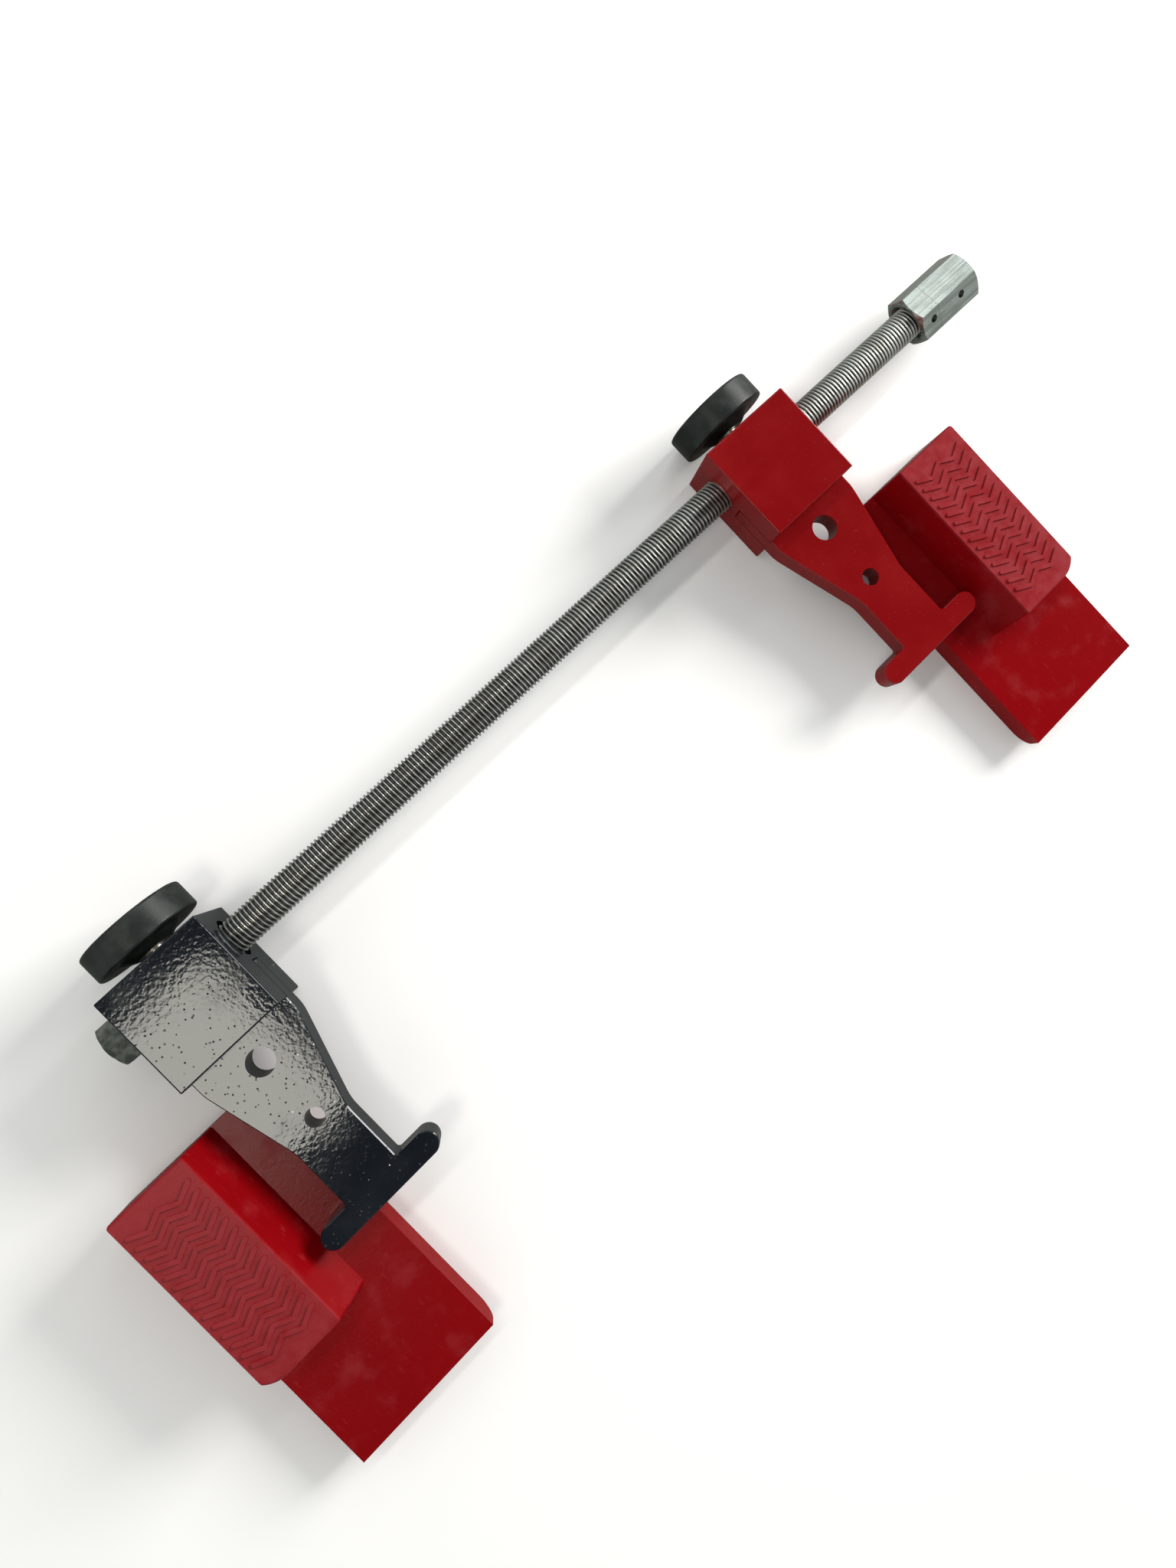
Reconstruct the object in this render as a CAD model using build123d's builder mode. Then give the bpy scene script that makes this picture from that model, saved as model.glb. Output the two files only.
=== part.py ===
from build123d import *
import math
import os

# Screw-operated wheel clamp, lying flat. Millimetres.
# +X runs along the screw towards the drive nut, +Y towards the knobs, +Z up from the table.
# The origin is the centre of the whole clamp's footprint, on the table.

# Screw
rod_d = 16.0
thread_pitch = 2.0
rod_free_length = 84.5
rod_tip = 1.5
spigot_step = 2.0
spigot_edge = 0.6
running_fit = 0.05
press_fit = 0.02

# Jaw blocks, both alike
jaw_length = 50.0
jaw_width = 50.0
jaw_height = 48.0
jaw_gap = 296.0
screw_to_knob_face = 16.0
jaw_edge = 0.7

# Arms, each with a tenon let into a slot along its block
arm_thickness = 15.0
arm_reach = 92.0
tenon_depth = 21.0
tenon_thickness = 9.5
slot_fit = 0.6
root_straight = 7.0
taper_length = 44.0
neck_width = 27.5
neck_offset = 1.6
taper_blend = 25.0
tee_length = 62.0
tee_depth = 11.0
tee_corner = 1.5
arm_edge = 0.5
large_hole_d = 12.5
large_hole_from_block = 12.5
small_hole_d = 8.5
small_hole_from_block = 45.0

# Bush in the fixed jaw, nut in the travelling jaw
bush_wall = 2.0
bush_recess = 4.0
nut_wall = 3.0
nut_length = 18.0

# Drive nut and its two cross pins
drive_wall = 4.0
drive_length = 42.0
drive_chamfer = 2.6
drive_turn = 18.0
drive_mouth_flare = 2.0
drive_mouth_depth = 4.0
rod_end_recess = 3.0
pin_d = 4.0
pin_recess = 2.0
pin_from_mouth = 8.5
pin_spacing = 20.5

# End nut and washer behind the fixed jaw
end_af = 19.0
end_nut_length = 10.5
washer_d = 26.0
washer_thickness = 2.5
face_gap = 0.1

# Locking knobs
knob_d = 48.0
knob_thickness = 13.0
knob_gap = 6.0
knob_edge = 1.2
boss_d = 30.0
boss_end_d = 18.0
boss_length = 3.0
stud_d = 10.0
stud_recess = 0.1
insert_d = 15.0
insert_length = 9.0
pad_d = 8.0
pad_thickness = 3.0
pad_gap = 0.3

# Shoes
shoe_inner = 11.5
shoe_outer = 86.5
shoe_start = 52.0
shoe_end = 199.5
shoe_draft = 4.0
slab_gap = 0.5
nose_gap = 3.0
wall_run = 10.0
wall_rise = 21.0
wall_length = 94.0
wall_corner = 14.0
foot_blend = 6.0
shoe_toe = 9.0
shoe_edge = 1.5
shoe_skin = 4.0
shoe_rib = 3.0
tread_rows = 14
tread_pitch = 5.5
tread_span = 7.5
tread_width = 2.0
tread_height = 0.8
tread_angle = 27.0

# Worked-out places
x_extent = shoe_outer + jaw_gap + jaw_length * 1.5 + rod_free_length + drive_length
fixed_x = shoe_outer - x_extent / 2
travelling_x = fixed_x + jaw_gap + jaw_length
knob_reach = screw_to_knob_face + knob_gap + knob_thickness
screw_y = (shoe_end - knob_reach) / 2
screw_z = max(jaw_height, knob_d) / 2
jaw_back_y = screw_y + screw_to_knob_face
jaw_front_y = jaw_back_y - jaw_width
arm_z = screw_z - arm_thickness / 2
slab_top = arm_z - slab_gap
outer_face_x = fixed_x - jaw_length / 2
drive_x = travelling_x + jaw_length / 2 + rod_free_length
shoulder_x = outer_face_x - face_gap
end_nut_x = shoulder_x - washer_thickness - end_nut_length
rod_start_x = end_nut_x - rod_tip
rod_end_x = drive_x + drive_length - rod_end_recess
bush_d = rod_d + 2 * bush_wall
bush_length = jaw_length - 2 * bush_recess
nut_d = rod_d + 2 * nut_wall
spigot_d = rod_d - 2 * spigot_step
drive_af = rod_d + 2 * drive_wall
pin_xs = (drive_x + pin_from_mouth, drive_x + pin_from_mouth + pin_spacing)
pin_angle = math.radians(drive_turn - 60)
pin_dir = (0, math.sin(pin_angle), math.cos(pin_angle))
stud_end_y = screw_y + rod_d / 2 + pad_gap + pad_thickness + stud_recess
knob_y = jaw_back_y + knob_gap

os.makedirs("parts", exist_ok=True)


def across(x):
    """Plane square to the screw at x, centred on the screw's axis."""
    return Plane(origin=(x, screw_y, screw_z), x_dir=(0, 1, 0), z_dir=(1, 0, 0))


def outward(x, y):
    """Plane square to a knob's stud at y, centred on the stud's axis."""
    return Plane(origin=(x, y, screw_z), x_dir=(1, 0, 0), z_dir=(0, 1, 0))


def finish(piece, name):
    """Label a finished piece and write it."""
    piece.part.label = name
    export_step(piece.part, f"parts/{name}.step")


# Screw: plain bar at the thread's crest diameter, turned down to a spigot for the end nut
with BuildPart() as threaded_rod:
    with BuildSketch(across(shoulder_x)):
        Circle(rod_d / 2)
    extrude(amount=rod_end_x - shoulder_x)
    chamfer(threaded_rod.edges().filter_by(GeomType.CIRCLE).group_by(Axis.X)[-1], thread_pitch / 2)
    with BuildSketch(across(rod_start_x)):
        Circle(spigot_d / 2)
    extrude(amount=shoulder_x - rod_start_x)
    chamfer(threaded_rod.edges().filter_by(GeomType.CIRCLE).group_by(Axis.X)[0], spigot_edge)
    for pin_x in pin_xs:
        with BuildSketch(Plane(origin=(pin_x, screw_y, screw_z), x_dir=(1, 0, 0), z_dir=pin_dir)):
            Circle(pin_d / 2 + press_fit)
        extrude(amount=rod_d, both=True, mode=Mode.SUBTRACT)
finish(threaded_rod, "threaded_rod")


def hexagon_nut(x, length, across_flats, bore_d, edge, turn):
    """Hexagon nut from x to x + length with both ends turned to a chamfer."""
    corner = across_flats / math.sqrt(3)
    with BuildPart() as nut:
        with BuildSketch(across(x)):
            RegularPolygon(across_flats / 2, 6, major_radius=False, rotation=30 + turn)
            Circle(bore_d / 2, mode=Mode.SUBTRACT)
        extrude(amount=length)
        with BuildSketch(across(x)):
            Circle(corner + 1)
        extrude(amount=length, mode=Mode.INTERSECT)
        with BuildSketch(Plane(origin=(x, screw_y, screw_z), x_dir=(1, 0, 0), z_dir=(0, -1, 0))):
            with BuildLine():
                Polyline(
                    (0, 0),
                    (0, corner - edge),
                    (edge * 0.6, corner),
                    (length - edge * 0.6, corner),
                    (length, corner - edge),
                    (length, 0),
                    close=True,
                )
            make_face()
        revolve(axis=Axis((x, screw_y, screw_z), (1, 0, 0)), mode=Mode.INTERSECT)
    return nut.part


# Drive nut: long hexagon, countersunk at the mouth and cross-drilled for two pins
with BuildPart() as drive_nut:
    add(hexagon_nut(drive_x, drive_length, drive_af, rod_d + 2 * press_fit, drive_chamfer, drive_turn))
    with BuildSketch(across(drive_x)):
        Circle(rod_d / 2 + drive_mouth_flare)
    with BuildSketch(across(drive_x + drive_mouth_depth)):
        Circle(rod_d / 2 + press_fit)
    loft(mode=Mode.SUBTRACT)
    for pin_x in pin_xs:
        with BuildSketch(Plane(origin=(pin_x, screw_y, screw_z), x_dir=(1, 0, 0), z_dir=pin_dir)):
            Circle(pin_d / 2 + press_fit)
        extrude(amount=drive_af, both=True, mode=Mode.SUBTRACT)
finish(drive_nut, "drive_nut")

with BuildPart() as drive_nut_pins:
    for pin_x in pin_xs:
        with BuildSketch(Plane(origin=(pin_x, screw_y, screw_z), x_dir=(1, 0, 0), z_dir=pin_dir)):
            Circle(pin_d / 2)
        extrude(amount=drive_af / 2 - pin_recess, both=True)
finish(drive_nut_pins, "drive_nut_pins")

# End nut and washer that hold the fixed jaw on the screw
with BuildPart() as end_nut:
    add(hexagon_nut(end_nut_x, end_nut_length, end_af, spigot_d + 2 * press_fit, drive_chamfer / 2, 0))
finish(end_nut, "end_nut")

with BuildPart() as end_washer:
    with BuildSketch(across(end_nut_x + end_nut_length)):
        Circle(washer_d / 2)
        Circle(spigot_d / 2 + running_fit, mode=Mode.SUBTRACT)
    extrude(amount=washer_thickness)
    chamfer(end_washer.edges().filter_by(GeomType.CIRCLE).group_by(SortBy.RADIUS)[-1], 0.3)
finish(end_washer, "end_washer")


def jaw_block(x):
    """Jaw block centred on x with its arm slot and the stud's tapped hole."""
    middle_y = (jaw_back_y + jaw_front_y) / 2
    with BuildPart() as block:
        with BuildSketch(Plane.XY.offset(screw_z - jaw_height / 2)):
            with Locations((x, middle_y)):
                Rectangle(jaw_length, jaw_width)
        extrude(amount=jaw_height)
        fillet(block.edges(), jaw_edge)
        with BuildSketch(Plane.XY.offset(screw_z - tenon_thickness / 2 - slot_fit)):
            with Locations((x, jaw_front_y)):
                Rectangle(jaw_length + 2, 2 * (tenon_depth + slot_fit))
        extrude(amount=tenon_thickness + 2 * slot_fit, mode=Mode.SUBTRACT)
        with BuildSketch(outward(x, screw_y)):
            Circle(stud_d / 2 + running_fit)
        extrude(amount=jaw_width, mode=Mode.SUBTRACT)
    return block.part


# Fixed jaw: plain bore with a bush set in from both faces
with BuildPart() as fixed_block:
    add(jaw_block(fixed_x))
    with BuildSketch(across(outer_face_x)):
        Circle(bush_d / 2)
    extrude(amount=jaw_length, mode=Mode.SUBTRACT)
finish(fixed_block, "fixed_block")

with BuildPart() as fixed_bush:
    with BuildSketch(across(outer_face_x + bush_recess)):
        Circle(bush_d / 2 - press_fit)
        Circle(rod_d / 2 + running_fit, mode=Mode.SUBTRACT)
    extrude(amount=bush_length)
    with BuildSketch(outward(fixed_x, screw_y)):
        Circle(stud_d / 2 + running_fit)
    extrude(amount=bush_d, mode=Mode.SUBTRACT)
finish(fixed_bush, "fixed_bush")

# Travelling jaw: threaded nut pressed in from the drive side
with BuildPart() as travelling_block:
    add(jaw_block(travelling_x))
    with BuildSketch(across(travelling_x - jaw_length / 2)):
        Circle(rod_d / 2 + running_fit)
    extrude(amount=jaw_length, mode=Mode.SUBTRACT)
    with BuildSketch(across(travelling_x + jaw_length / 2 - nut_length)):
        Circle(nut_d / 2)
    extrude(amount=nut_length, mode=Mode.SUBTRACT)
finish(travelling_block, "travelling_block")

with BuildPart() as travelling_nut:
    with BuildSketch(across(travelling_x + jaw_length / 2 - nut_length + press_fit)):
        Circle(nut_d / 2 - press_fit)
        Circle(rod_d / 2 + running_fit, mode=Mode.SUBTRACT)
    extrude(amount=nut_length - press_fit)
finish(travelling_nut, "travelling_nut")


def arm(x, side):
    """Plate arm of the jaw at x: tenon, taper, neck and round-ended cross head; side is +1 or -1."""
    half_root = jaw_length / 2
    half_neck = neck_width / 2
    neck_x = x + side * neck_offset
    taper_y = jaw_front_y - root_straight
    neck_y = taper_y - taper_length
    end_y = jaw_front_y - arm_reach
    tee_y = end_y + tee_depth
    with BuildPart() as plate:
        with BuildSketch(Plane.XY.offset(arm_z)) as outline:
            with BuildLine():
                Polyline(
                    (x - half_root, jaw_front_y),
                    (x - half_root, taper_y),
                    (neck_x - half_neck, neck_y),
                    (neck_x - half_neck, end_y),
                    (neck_x + half_neck, end_y),
                    (neck_x + half_neck, neck_y),
                    (x + half_root, taper_y),
                    (x + half_root, jaw_front_y),
                    close=True,
                )
            make_face()
            bends = [v for v in outline.vertices() if neck_y - 1 < v.Y < taper_y + 1]
            fillet(bends, taper_blend)
            with Locations((neck_x, end_y + tee_depth / 2)):
                SlotOverall(tee_length, tee_depth)
            corners = [
                v for v in outline.vertices()
                if abs(v.Y - tee_y) < 0.01 and abs(abs(v.X - neck_x) - half_neck) < 0.01
            ]
            fillet(corners, tee_corner)
        extrude(amount=arm_thickness)
        faces_edges = plate.edges().group_by(Axis.Z)[0] + plate.edges().group_by(Axis.Z)[-1]
        chamfer(faces_edges.filter_by(lambda e: e.center().Y < jaw_front_y - 0.01), arm_edge)
        with BuildSketch(Plane.XY.offset(screw_z - tenon_thickness / 2)):
            with Locations((x, jaw_front_y + tenon_depth / 2)):
                Rectangle(jaw_length, tenon_depth)
        extrude(amount=tenon_thickness)
        with BuildSketch(Plane.XY.offset(arm_z)):
            with Locations((x, jaw_front_y - large_hole_from_block)):
                Circle(large_hole_d / 2)
            with Locations((x, jaw_front_y - small_hole_from_block)):
                Circle(small_hole_d / 2)
        extrude(amount=arm_thickness, mode=Mode.SUBTRACT)
    return plate.part


with BuildPart() as fixed_arm:
    add(arm(fixed_x, -1))
finish(fixed_arm, "fixed_arm")

with BuildPart() as travelling_arm:
    add(arm(travelling_x, 1))
finish(travelling_arm, "travelling_arm")


# Locking knob of each jaw: disc, moulded-in insert, stud and the pad that bears on the screw
for jaw, x in (("fixed", fixed_x), ("travelling", travelling_x)):
    with BuildPart() as knob:
        with BuildSketch(outward(x, knob_y)):
            Circle(knob_d / 2)
        extrude(amount=knob_thickness)
        fillet(knob.edges(), knob_edge)
        with BuildSketch(outward(x, knob_y)):
            Circle(boss_d / 2)
        with BuildSketch(outward(x, knob_y - boss_length)):
            Circle(boss_end_d / 2)
        loft()
        with BuildSketch(outward(x, knob_y - boss_length)):
            Circle(insert_d / 2)
        extrude(amount=boss_length + insert_length, mode=Mode.SUBTRACT)
    finish(knob, f"{jaw}_knob")

    with BuildPart() as insert:
        with BuildSketch(outward(x, knob_y - boss_length)):
            Circle(insert_d / 2 - press_fit)
            Circle(stud_d / 2 + press_fit, mode=Mode.SUBTRACT)
        extrude(amount=boss_length + insert_length - press_fit)
    finish(insert, f"{jaw}_knob_insert")

    with BuildPart() as stud:
        with BuildSketch(outward(x, stud_end_y)):
            Circle(stud_d / 2)
        extrude(amount=knob_y + insert_length - 2 * press_fit - stud_end_y)
        chamfer(stud.edges().filter_by(GeomType.CIRCLE), 0.8)
    finish(stud, f"{jaw}_knob_stud")

    with BuildPart() as pad:
        with BuildSketch(outward(x, screw_y + rod_d / 2 + pad_gap)):
            Circle(pad_d / 2)
        extrude(amount=pad_thickness)
    finish(pad, f"{jaw}_knob_pad")


def shoe(x, side):
    """Moulded shoe beside the jaw at x: slab, sloping wall and treaded top; side is +1 or -1."""
    foot = tee_length / 2 + neck_offset + nose_gap
    top_in = foot + wall_run
    top_z = slab_top + wall_rise
    top_out = shoe_outer - shoe_draft
    slab_out = shoe_outer - shoe_draft * slab_top / top_z
    start_y = screw_y - shoe_start
    end_y = screw_y - shoe_end
    with BuildPart() as body:
        with BuildSketch(Plane(origin=(x, start_y, 0), x_dir=(1, 0, 0), z_dir=(0, -1, 0))) as wall:
            with BuildLine():
                Polyline(
                    (side * shoe_inner, 0),
                    (side * shoe_outer, 0),
                    (side * top_out, top_z),
                    (side * top_in, top_z),
                    (side * foot, slab_top),
                    (side * shoe_inner, slab_top),
                    close=True,
                )
            make_face()
            fillet([v for v in wall.vertices() if abs(v.X - x - side * foot) < 0.01], foot_blend)
            fillet([v for v in wall.vertices() if v.Z > top_z - 0.01], 2 * shoe_edge)
        extrude(amount=wall_length)
        with BuildSketch(Plane.XY) as footprint:
            with Locations((x + side * (shoe_inner + shoe_outer) / 2, start_y - wall_length / 2)):
                Rectangle(shoe_outer - shoe_inner, wall_length)
            fillet(
                [
                    v for v in footprint.vertices()
                    if abs(v.X - x - side * shoe_outer) < 0.01 and v.Y < start_y - 1
                ],
                wall_corner,
            )
        extrude(amount=top_z, mode=Mode.INTERSECT)
        with BuildSketch(Plane(origin=(x, start_y, 0), x_dir=(1, 0, 0), z_dir=(0, -1, 0))):
            with BuildLine():
                Polyline(
                    (side * shoe_inner, 0),
                    (side * shoe_outer, 0),
                    (side * slab_out, slab_top),
                    (side * shoe_inner, slab_top),
                    close=True,
                )
            make_face()
        extrude(amount=start_y - end_y)
        toe = body.edges().filter_by(Axis.X).group_by(Axis.Y)[0].sort_by(Axis.Z)[0]
        fillet(toe, shoe_toe)
        wall_end_y = start_y - wall_length
        raised = [
            e for e in body.edges()
            if e.center().Z > slab_top + 0.5
            and (abs(e.center().Y - start_y) < 0.01 or e.center().Y < wall_end_y + wall_corner)
        ]
        fillet(raised, shoe_edge)

        # Hollow underside: pockets between ribs, deeper under the raised wall
        slab_in = shoe_inner + shoe_skin
        wall_in = top_in + shoe_skin / 2
        wall_out = top_out - shoe_skin
        pocket_y = (wall_length - 2 * shoe_skin - 2 * shoe_rib) / 3
        with BuildSketch(Plane.XY):
            with Locations((x + side * (wall_in + wall_out) / 2, start_y - wall_length / 2)):
                with GridLocations(1, pocket_y + shoe_rib, 1, 3):
                    Rectangle(wall_out - wall_in, pocket_y)
        extrude(amount=top_z - shoe_skin, mode=Mode.SUBTRACT)
        with BuildSketch(Plane.XY):
            with Locations((x + side * (slab_in + wall_in - shoe_rib) / 2, start_y - wall_length / 2)):
                with GridLocations(1, pocket_y + shoe_rib, 1, 3):
                    Rectangle(wall_in - shoe_rib - slab_in, pocket_y)
        extrude(amount=slab_top - shoe_skin, mode=Mode.SUBTRACT)
        tail = shoe_end - shoe_start - wall_length
        tail_y = tail - shoe_toe - shoe_skin
        with BuildSketch(Plane.XY):
            with Locations((x + side * (slab_in + wall_out) / 2, start_y - wall_length - tail_y / 2)):
                with GridLocations((wall_out - slab_in + shoe_rib) / 3, 1, 3, 1):
                    Rectangle((wall_out - slab_in - 2 * shoe_rib) / 3, tail_y)
        extrude(amount=slab_top - shoe_skin, mode=Mode.SUBTRACT)

        # Tread on the wall's top: rows of four short bars set in a zigzag
        tread_x = (top_in + top_out) / 2
        tread_y = start_y - wall_length / 2
        tread_bar = tread_span / math.cos(math.radians(tread_angle)) + tread_width
        with BuildSketch(Plane.XY.offset(top_z - tread_height)):
            for column in range(4):
                lean = tread_angle if column % 2 else -tread_angle
                column_x = x + side * tread_x + (column - 1.5) * tread_span
                with Locations((column_x, tread_y)):
                    with GridLocations(1, tread_pitch, 1, tread_rows):
                        SlotOverall(tread_bar, tread_width, rotation=lean)
        extrude(amount=2 * tread_height)
    return body.part


with BuildPart() as fixed_shoe:
    add(shoe(fixed_x, -1))
finish(fixed_shoe, "fixed_shoe")

with BuildPart() as travelling_shoe:
    add(shoe(travelling_x, 1))
finish(travelling_shoe, "travelling_shoe")
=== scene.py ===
import math

import bmesh
import bpy
from mathutils import Matrix, Vector


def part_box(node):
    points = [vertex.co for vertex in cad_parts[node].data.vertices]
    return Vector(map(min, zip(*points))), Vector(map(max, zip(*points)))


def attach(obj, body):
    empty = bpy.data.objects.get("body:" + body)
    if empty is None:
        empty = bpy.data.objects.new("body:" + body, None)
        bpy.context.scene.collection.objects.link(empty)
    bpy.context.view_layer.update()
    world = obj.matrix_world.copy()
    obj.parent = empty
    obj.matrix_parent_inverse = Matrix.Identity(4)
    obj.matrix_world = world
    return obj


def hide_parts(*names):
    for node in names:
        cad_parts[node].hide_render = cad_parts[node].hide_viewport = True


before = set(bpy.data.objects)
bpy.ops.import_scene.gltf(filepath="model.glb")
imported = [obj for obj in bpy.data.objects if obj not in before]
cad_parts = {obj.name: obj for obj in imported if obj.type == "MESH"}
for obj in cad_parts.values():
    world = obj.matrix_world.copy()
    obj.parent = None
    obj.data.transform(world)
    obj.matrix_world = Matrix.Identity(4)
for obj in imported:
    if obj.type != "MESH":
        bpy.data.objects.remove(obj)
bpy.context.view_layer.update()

# Threads, in metres: pitches of the bar, its spigot and the studs, how much thinner the spigot
# is than the bar in radius, the depth in shares of the pitch, and the sides to one turn.
BAR_PITCH = 0.002
SPIGOT_PITCH = 0.00175
STUD_PITCH = 0.0015
SPIGOT_STEP = 0.002
THREAD_DEPTH = 0.6
THREAD_STEPS = 28


# Camera: held above the clamp, looking down and a little towards the drive nut, with the top of
# the view turned towards the space behind the screw.
eye = Vector((-0.0667, 0.0421, 0.5466))
looking = Vector((0.2089, -0.0409, -0.9771))
view_top = Vector((0.6769, 0.7271, 0.1143))

camera_data = bpy.data.cameras.new("camera")
camera_data.sensor_fit = "VERTICAL"
camera_data.sensor_height = 36.0
camera_data.lens = 26.0
camera_data.shift_x = -0.0744
camera_data.shift_y = -0.0622
camera_data.clip_start = 0.01
camera = bpy.data.objects.new("camera", camera_data)
bpy.context.scene.collection.objects.link(camera)
right = looking.cross(view_top).normalized()
upward = right.cross(looking).normalized()
turn = Matrix((right, upward, -looking.normalized())).transposed()
camera.matrix_world = Matrix.Translation(eye) @ turn.to_4x4()
bpy.context.scene.camera = camera


# Studio: an overhead panel that the gloss black jaw mirrors, a key from the drive end that
# reaches the inner wall of the fixed jaw's shoe, a strip and a fill that glint on the thread and
# the drive nut, and a surround pale low down and dark overhead.
bpy.context.scene.view_settings.view_transform = "Standard"


def panel(name, place, aim, width, height, power, tint):
    """A rectangular lamp at place that faces aim."""
    data = bpy.data.lights.new(name, "AREA")
    data.shape = "RECTANGLE"
    data.size = width
    data.size_y = height
    data.energy = power
    data.color = tint
    lamp = bpy.data.objects.new(name, data)
    bpy.context.scene.collection.objects.link(lamp)
    lamp.location = place
    lamp.rotation_euler = (Vector(aim) - Vector(place)).to_track_quat("-Z", "Y").to_euler()


panel("overhead", (-0.71, 0.04, 1.5), (-0.71, 0.04, 0.0), 0.34, 0.33, 5.2, (1.0, 0.98, 0.88))
panel("key", (1.7, -0.1, 0.85), (0.0, 0.0, 0.0), 0.8, 0.8, 52.0, (1.0, 0.98, 0.96))
panel("strip", (0.3, 0.72, 1.5), (0.3, 0.08, 0.0), 1.9, 0.14, 7.0, (1.0, 1.0, 0.98))
panel("fill", (1.14, 0.95, 1.05), (0.27, 0.08, 0.0), 0.5, 0.5, 1.5, (0.93, 0.97, 1.0))

world = bpy.data.worlds.new("surround")
world.use_nodes = True
sky = world.node_tree
direction = sky.nodes.new("ShaderNodeTexCoord")
parts = sky.nodes.new("ShaderNodeSeparateXYZ")
rise = sky.nodes.new("ShaderNodeMapRange")
rise.interpolation_type = "SMOOTHSTEP"
rise.inputs["From Min"].default_value = 0.45
rise.inputs["From Max"].default_value = 0.85
rise.inputs["To Min"].default_value = 1.05
rise.inputs["To Max"].default_value = 0.12
sky.links.new(direction.outputs["Generated"], parts.inputs[0])
sky.links.new(parts.outputs["Z"], rise.inputs["Value"])
sky.links.new(rise.outputs[0], sky.nodes["Background"].inputs["Strength"])
sky.nodes["Background"].inputs["Color"].default_value = (0.90, 0.93, 0.95, 1.0)
bpy.context.scene.world = world


# Threaded bar: bright zinc-plated M16 studding with painted shade darkening the thread roots, and
# the smaller threaded spigot that carries the end nut. Rolled thread; turns with the screw.
class Value:
    """A shader output that takes ordinary arithmetic."""

    def __init__(self, finish, socket):
        self.finish = finish
        self.socket = socket

    def maths(self, operation, *others):
        """This value combined with others by one maths operation."""
        inputs = dict(enumerate((self,) + others))
        return self.finish.node("Math", {"operation": operation}, inputs)

    def __add__(self, other):
        return self.maths("ADD", other)

    def __sub__(self, other):
        return self.maths("SUBTRACT", other)

    def __mul__(self, other):
        return self.maths("MULTIPLY", other)

    def between(self, low, high):
        """Smooth rise from 0 at low to 1 at high, or a fall where low is above high."""
        settings = {"interpolation_type": "SMOOTHSTEP"}
        return self.finish.node("MapRange", settings, {0: self, 1: low, 2: high})


class Finish:
    """One material, built up by shader nodes on the object's own coordinates."""

    def __init__(self, name, uniform):
        self.material = bpy.data.materials.new(name)
        self.material.use_nodes = True
        self.tree = self.material.node_tree
        self.shader = self.tree.nodes["Principled BSDF"]
        for socket, value in uniform.items():
            self.shader.inputs[socket].default_value = value
        self.place = self.node("TexCoord", {}, {}, 3)

    def node(self, kind, settings, inputs, output=0):
        """One shader node with its settings, its input values or links, and the output wanted."""
        made = self.tree.nodes.new("ShaderNode" + kind)
        for key, value in settings.items():
            setattr(made, key, value)
        for socket, value in inputs.items():
            if isinstance(value, Value):
                self.tree.links.new(value.socket, made.inputs[socket])
            else:
                made.inputs[socket].default_value = value
        return Value(self, made.outputs[output])

    def noise(self, size, detail=2.0, stretch=(1.0, 1.0, 1.0)):
        """Cloudy pattern with features about size metres across."""
        place = self.node("VectorMath", {"operation": "MULTIPLY"}, {0: self.place, 1: stretch})
        return self.node("TexNoise", {}, {"Vector": place, "Scale": 1.0 / size, "Detail": detail})

    def spots(self, size):
        """Distance from scattered points about size metres apart, in shares of that spacing."""
        return self.node("TexVoronoi", {}, {"Vector": self.place, "Scale": 1.0 / size})

    def axis(self, number):
        """One object coordinate in metres: 0, 1 or 2 for X, Y or Z."""
        return self.node("SeparateXYZ", {}, {0: self.place}, number)

    def mixed(self, share, first, second):
        """Colour that goes from first to second as share rises."""
        return self.node("Mix", {"data_type": "RGBA"}, {0: share, 6: first, 7: second}, 2)

    def use(self, socket, value):
        """Feed one input of the surface."""
        self.tree.links.new(value.socket, self.shader.inputs[socket])

    def relief(self, height, depth):
        """Surface relief of depth metres where height goes from 0 to 1."""
        inputs = {"Strength": 1.0, "Distance": depth, "Height": height}
        self.use("Normal", self.node("Bump", {}, inputs))

    def paint(self, *objects):
        """Give this material to objects."""
        for item in objects:
            item.data.materials.clear()
            item.data.materials.append(self.material)


def made_object(name, bm, body, crease=35.0):
    """Finished closed mesh as an object that rides a body."""
    bmesh.ops.recalc_face_normals(bm, faces=bm.faces)
    mesh = bpy.data.meshes.new(name)
    bm.to_mesh(mesh)
    bm.free()
    mesh.shade_smooth()
    mesh.set_sharp_from_angle(angle=math.radians(crease))
    made = bpy.data.objects.new(name, mesh)
    bpy.context.scene.collection.objects.link(made)
    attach(made, body)
    return made


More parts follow.
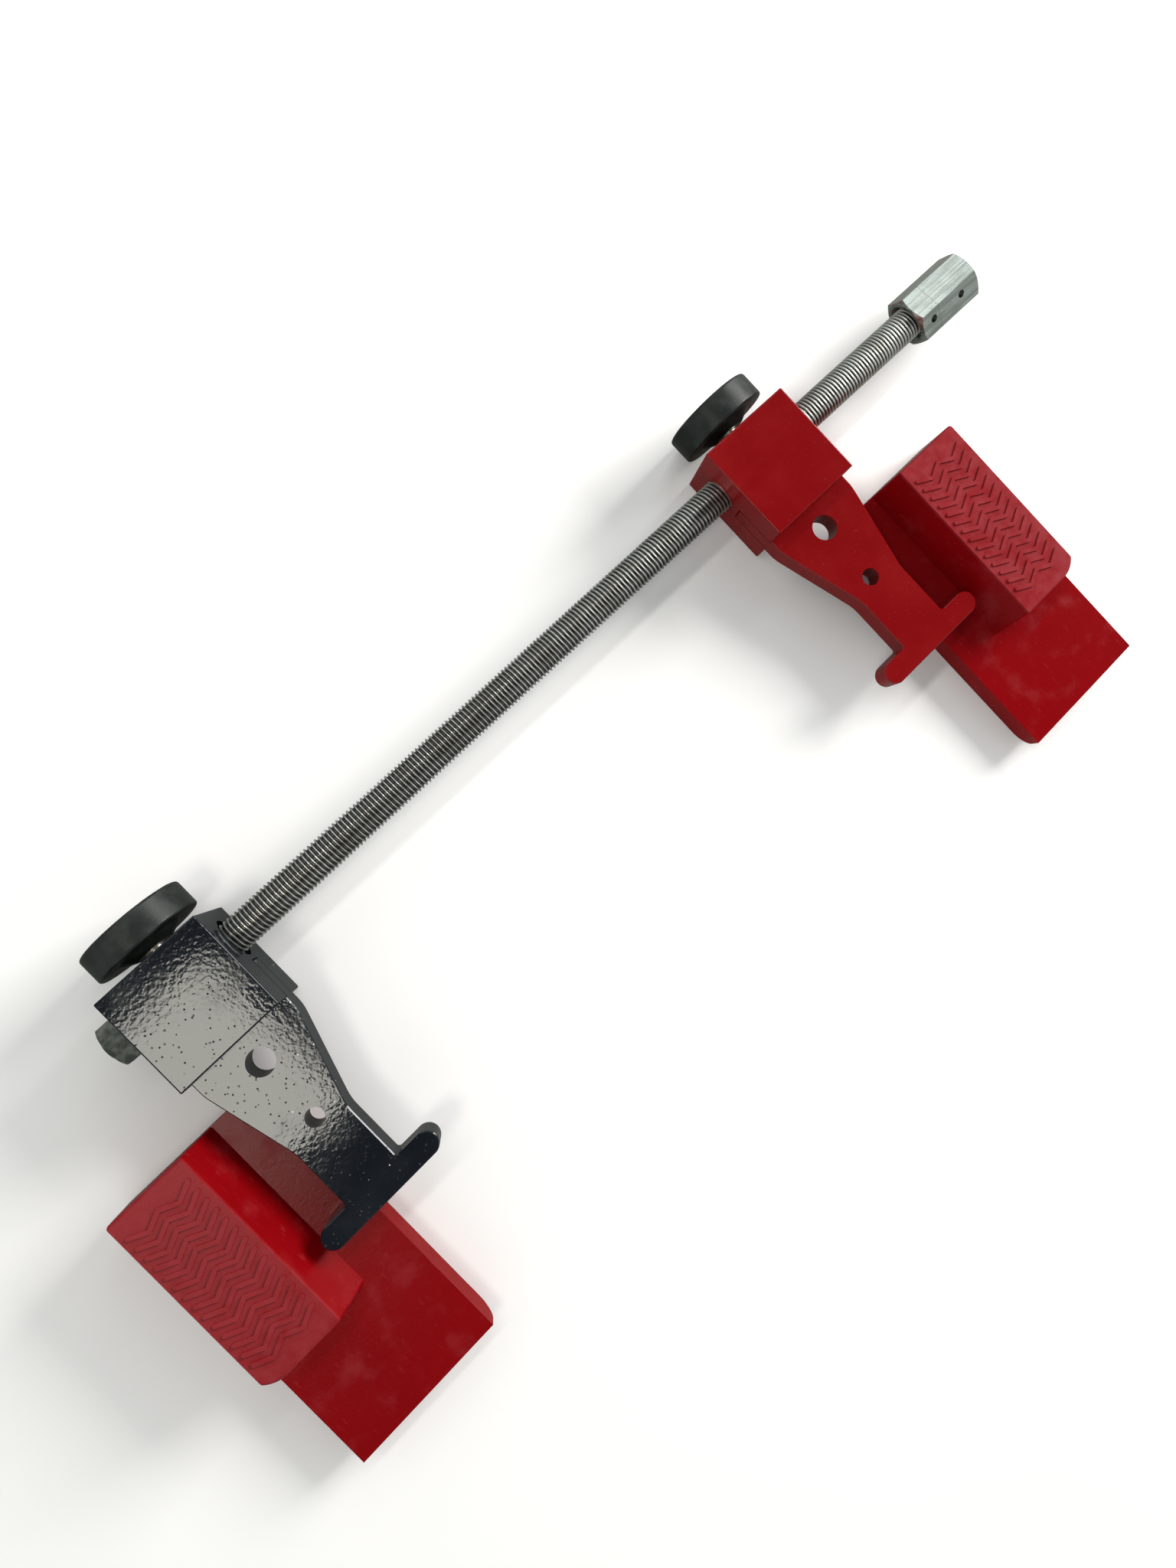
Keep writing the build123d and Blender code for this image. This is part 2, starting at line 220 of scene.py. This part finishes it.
def thread(radius, pitch, length):
    """Right-hand threaded bar along +X from the origin, both ends cut square.

    One turn of the thread's outline, in shares of the pitch, is swept round and then doubled.
    """
    bm = bmesh.new()
    root = radius - THREAD_DEPTH * pitch
    outline = [(-2.0625, radius), (-1.9375, radius), (-1.625, root), (-1.375, root),
               (-1.0625, radius)]
    points = [bm.verts.new((share * pitch, 0.0, reach)) for share, reach in outline]
    edges = [bm.edges.new(pair) for pair in zip(points, points[1:])]
    bmesh.ops.spin(bm, geom=points + edges, cent=(0.0, 0.0, 0.0), axis=(1.0, 0.0, 0.0),
                   dvec=(pitch / THREAD_STEPS, 0.0, 0.0), angle=2.0 * math.pi,
                   steps=THREAD_STEPS)
    turns = 1
    while turns * pitch < length + 3.0 * pitch:
        copy = bmesh.ops.duplicate(bm, geom=bm.verts[:] + bm.edges[:] + bm.faces[:])["geom"]
        copied = [item for item in copy if isinstance(item, bmesh.types.BMVert)]
        bmesh.ops.translate(bm, verts=copied, vec=(turns * pitch, 0.0, 0.0))
        turns *= 2
    bmesh.ops.remove_doubles(bm, verts=bm.verts, dist=pitch * 0.002)
    for x, way in ((0.0, -1.0), (length, 1.0)):
        everything = bm.verts[:] + bm.edges[:] + bm.faces[:]
        bmesh.ops.bisect_plane(bm, geom=everything, dist=1e-7, plane_co=(x, 0.0, 0.0),
                               plane_no=(way, 0.0, 0.0), clear_outer=True)
    open_edges = [edge for edge in bm.edges if edge.is_boundary]
    bmesh.ops.holes_fill(bm, edges=open_edges)
    return bm


bar_low, bar_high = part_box("threaded_rod")
spigot_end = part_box("end_washer")[1].x
bar_radius = (bar_high.y - bar_low.y) / 2.0
bar_y = (bar_low.y + bar_high.y) / 2.0
bar_z = (bar_low.z + bar_high.z) / 2.0

bm = thread(bar_radius, BAR_PITCH, bar_high.x - spigot_end)
bmesh.ops.translate(bm, verts=bm.verts, vec=(spigot_end, bar_y, bar_z))
screw_thread = made_object("screw_thread", bm, "screw")
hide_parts("threaded_rod")

bm = thread(bar_radius - SPIGOT_STEP, SPIGOT_PITCH, spigot_end - bar_low.x)
bmesh.ops.translate(bm, verts=bm.verts, vec=(bar_low.x, bar_y, bar_z))
spigot_thread = made_object("spigot_thread", bm, "screw")

zinc = Finish("zinc_thread", {"Metallic": 1.0})
from_axis_y = zinc.axis(1) - bar_y
from_axis_z = zinc.axis(2) - bar_z
radius = (from_axis_y * from_axis_y + from_axis_z * from_axis_z).maths("SQRT")
# Painted shade: the thread roots are coloured dark and the crests take the plating colour.
crest_not_root_shade = radius.between(bar_radius - 0.0012, bar_radius - 0.0001)
grime = zinc.noise(0.012, 4.0).between(0.35, 0.75)
plating = zinc.mixed(grime, (0.80, 0.82, 0.79, 1.0), (0.56, 0.55, 0.51, 1.0))
zinc.use("Base Color", zinc.mixed(crest_not_root_shade, (0.09, 0.085, 0.075, 1.0), plating))
zinc.use("Roughness", zinc.noise(0.002, 3.0) * 0.18 + 0.22)
zinc.relief(zinc.noise(0.0006, 3.0), 0.00004)
zinc.paint(screw_thread, spigot_thread)


# Drive nut: long zinc-plated hexagon, drawn lengthwise and turned at the ends, pinned across
# twice to the bar. Streaks run along it, with a faint turned ring and a red smear at the mouth.
nut_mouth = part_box("drive_nut")[0].x
nut_zinc = Finish("zinc_nut", {"Metallic": 1.0})
along = nut_zinc.noise(0.0013, 2.0, (0.04, 1.0, 1.0))
streaks = along.between(0.32, 0.68)
clouds = nut_zinc.noise(0.009, 4.0).between(0.35, 0.7)
drawn = nut_zinc.mixed(streaks, (0.26, 0.285, 0.26, 1.0), (0.42, 0.46, 0.43, 1.0))
dulled = nut_zinc.mixed(clouds * 0.45, drawn, (0.22, 0.25, 0.21, 1.0))
nut_x = nut_zinc.axis(0)
ring_x = nut_mouth + 0.0125
ring = (nut_x - ring_x).maths("ABSOLUTE").between(0.0007, 0.0002) * 0.4
ringed = nut_zinc.mixed(ring, dulled, (0.22, 0.22, 0.20, 1.0))
smear = nut_x.between(nut_mouth + 0.003, nut_mouth + 0.0005)
smear = smear * nut_zinc.noise(0.005, 3.0).between(0.60, 0.68) * 0.7
nut_zinc.use("Base Color", nut_zinc.mixed(smear, ringed, (0.30, 0.02, 0.02, 1.0)))
nut_zinc.use("Roughness", streaks * 0.08 + 0.20)
nut_zinc.relief(along, 0.000015)
nut_zinc.paint(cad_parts["drive_nut"])

pin_steel = Finish("pin_steel", {"Metallic": 1.0})
pin_steel.use("Base Color", pin_steel.mixed(pin_steel.noise(0.0015, 3.0),
                                            (0.05, 0.048, 0.045, 1.0), (0.17, 0.16, 0.15, 1.0)))
pin_steel.use("Roughness", pin_steel.noise(0.001, 2.0) * 0.2 + 0.35)
pin_steel.paint(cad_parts["drive_nut_pins"])


# End nut and washer: plain oiled steel gone grey-green, held on the bar's spigot outside the
# fixed jaw.
dark_nut = Finish("dark_nut", {"Metallic": 1.0})
wear = dark_nut.noise(0.004, 4.0).between(0.35, 0.7)
dark_nut.use("Base Color", dark_nut.mixed(wear, (0.055, 0.062, 0.052, 1.0),
                                          (0.16, 0.165, 0.14, 1.0)))
dark_nut.use("Roughness", dark_nut.noise(0.002, 3.0) * 0.25 + 0.28)
dark_nut.relief(dark_nut.noise(0.0008, 3.0), 0.00005)
dark_nut.paint(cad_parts["end_nut"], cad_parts["end_washer"])


# Fixed jaw: cut steel block and plate arm under thick gloss black powder coat. The coat lies in
# long ripples with dark pinholes and a few pale specks of dust cured into it.
black = Finish("black_coat", {"Specular IOR Level": 0.3})
ripple = black.noise(0.0021, 1.5)
fine_ripple = black.noise(0.0010, 1.0)
pits = black.spots(0.0023).between(0.20, 0.08) * black.noise(0.004, 3.0).between(0.44, 0.54)
specks = black.spots(0.0085).between(0.045, 0.03)
haze = black.noise(0.02, 4.0).between(0.4, 0.75)
coat = black.mixed(haze * 0.5, (0.0045, 0.006, 0.009, 1.0), (0.010, 0.012, 0.015, 1.0))
black.use("Base Color", black.mixed(specks, coat, (0.45, 0.45, 0.43, 1.0)))
black.use("Roughness", haze * 0.05 + 0.06)
black.relief(ripple * 0.28 + fine_ripple * 0.06 - pits * 1.6, 0.00012)
black.paint(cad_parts["fixed_block"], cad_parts["fixed_arm"])


# Travelling jaw: the same block and arm under a smoother deep red coat with a soft gloss, and
# the faintest ripple and dust.
red = Finish("red_coat", {"Specular IOR Level": 0.25})
red_haze = red.noise(0.018, 4.0).between(0.35, 0.75)
red_dust = red.noise(0.0011, 3.0).between(0.66, 0.74) * 0.25
red_body = red.mixed(red_haze, (0.155, 0.0010, 0.0020, 1.0), (0.172, 0.0016, 0.0026, 1.0))
red.use("Base Color", red.mixed(red_dust, red_body, (0.30, 0.06, 0.06, 1.0)))
red.use("Roughness", red_haze * 0.05 + 0.19)
red.relief(red.noise(0.0026, 1.0), 0.00003)
red.paint(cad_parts["travelling_block"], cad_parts["travelling_arm"])


# Bush, nut, knob inserts and pads: turned bronze, pressed in place. Rings run round the bore
# and the metal has dulled brown where oil has sat.
bronze = Finish("bronze", {"Metallic": 1.0})
oil = bronze.noise(0.004, 4.0).between(0.35, 0.7)
bronze.use("Base Color", bronze.mixed(oil, (0.55, 0.37, 0.19, 1.0), (0.26, 0.17, 0.09, 1.0)))
bronze.use("Roughness", bronze.noise(0.0015, 3.0) * 0.25 + 0.25)
bronze.relief(bronze.noise(0.0005, 3.0, (1.0, 0.2, 0.2)), 0.00004)
bronze.paint(*(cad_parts[name] for name in (
    "fixed_bush", "travelling_nut", "fixed_knob_insert", "travelling_knob_insert",
    "fixed_knob_pad", "travelling_knob_pad")))


# Locking knobs: moulded discs of matte black plastic with a fine grain, greyed a little in cloudy
# patches by handling.
knob_plastic = Finish("knob_black", {"Specular IOR Level": 0.2})
rubbed = knob_plastic.noise(0.008, 5.0).between(0.4, 0.75)
knob_plastic.use("Base Color", knob_plastic.mixed(rubbed, (0.009, 0.011, 0.010, 1.0),
                                                  (0.020, 0.024, 0.022, 1.0)))
knob_plastic.use("Roughness", rubbed * 0.12 + 0.34)
knob_plastic.relief(knob_plastic.noise(0.0005, 2.0), 0.00006)
knob_plastic.paint(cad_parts["fixed_knob"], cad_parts["travelling_knob"])


# Knob studs: M10 zinc-plated threads that run from each knob's insert into its block.
stud_zinc = Finish("stud_zinc", {"Metallic": 1.0})
stud_zinc.use("Base Color", stud_zinc.mixed(stud_zinc.noise(0.003, 4.0), (0.35, 0.34, 0.31, 1.0),
                                            (0.75, 0.74, 0.70, 1.0)))
stud_zinc.use("Roughness", stud_zinc.noise(0.001, 3.0) * 0.2 + 0.25)
stud_zinc.relief(stud_zinc.noise(0.0005, 2.0), 0.00003)
for jaw in ("fixed", "travelling"):
    stud_low, stud_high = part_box(jaw + "_knob_stud")
    bm = thread((stud_high.x - stud_low.x) / 2.0, STUD_PITCH, stud_high.y - stud_low.y)
    middle = (stud_low + stud_high) / 2.0
    place = Matrix.Translation((middle.x, stud_low.y, middle.z))
    place = place @ Matrix.Rotation(math.radians(90), 4, "Z")
    bmesh.ops.transform(bm, verts=bm.verts, matrix=place)
    stud = made_object(jaw + "_stud_thread", bm, jaw + "_knob")
    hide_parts(jaw + "_knob_stud")
    stud_zinc.paint(stud)


# Shoes: loose red plastic mouldings. The treaded top carries a painted sheen, a paler chalky
# pink, and the slab and walls keep a deep satin red with cloudy bloom.
tread_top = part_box("fixed_shoe")[1].z
shoe_red = Finish("red_plastic", {"Specular IOR Level": 0.1})
height = shoe_red.axis(2)
tread_sheen_noise = shoe_red.noise(0.006, 5.0).between(0.25, 0.7)
# Painted sheen: the top 2.6 mm of each shoe is coloured a paler pink in patches.
tread_sheen = height.between(tread_top - 0.0026, tread_top - 0.0006) * (tread_sheen_noise * 0.4 + 0.3)
bloom = shoe_red.noise(0.016, 5.0).between(0.5, 0.8) * 0.28
scuffs = shoe_red.noise(0.0016, 4.0, (1.0, 0.25, 1.0)).between(0.62, 0.72) * 0.2
deep = shoe_red.mixed(shoe_red.noise(0.03, 3.0), (0.150, 0.0007, 0.002, 1.0),
                      (0.200, 0.0013, 0.003, 1.0))
bloomed = shoe_red.mixed(bloom + scuffs, deep, (0.27, 0.03, 0.035, 1.0))
shoe_red.use("Base Color", shoe_red.mixed(tread_sheen, bloomed, (0.24, 0.024, 0.030, 1.0)))
shoe_red.use("Roughness", tread_sheen * 0.25 + bloom * 0.5 + 0.24)
shoe_red.relief(shoe_red.noise(0.0012, 3.0) + shoe_red.noise(0.0004, 2.0) * 0.4, 0.00006)
shoe_red.paint(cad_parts["fixed_shoe"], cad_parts["travelling_shoe"])


# Floor: a plain pale sheet under the clamp, with a slight unevenness of tone. Gloss and metal
# sides mirror it darker than it looks, as they would a bench.
floor_reach = 4.0
floor_drop = 0.0002
bm = bmesh.new()
bmesh.ops.create_grid(bm, x_segments=1, y_segments=1, size=floor_reach)
floor_mesh = bpy.data.meshes.new("floor")
bm.to_mesh(floor_mesh)
bm.free()
floor = bpy.data.objects.new("floor", floor_mesh)
bpy.context.scene.collection.objects.link(floor)
floor.location.z = -floor_drop
sheet = Finish("floor_sheet", {"Roughness": 0.7})
tone = sheet.mixed(sheet.noise(0.25, 3.0), (0.78, 0.775, 0.765, 1.0), (0.84, 0.835, 0.825, 1.0))
mirrored = sheet.node("LightPath", {}, {}, "Is Glossy Ray")
sheet.use("Base Color", sheet.mixed(mirrored, tone, (0.20, 0.205, 0.19, 1.0)))
sheet.paint(floor)
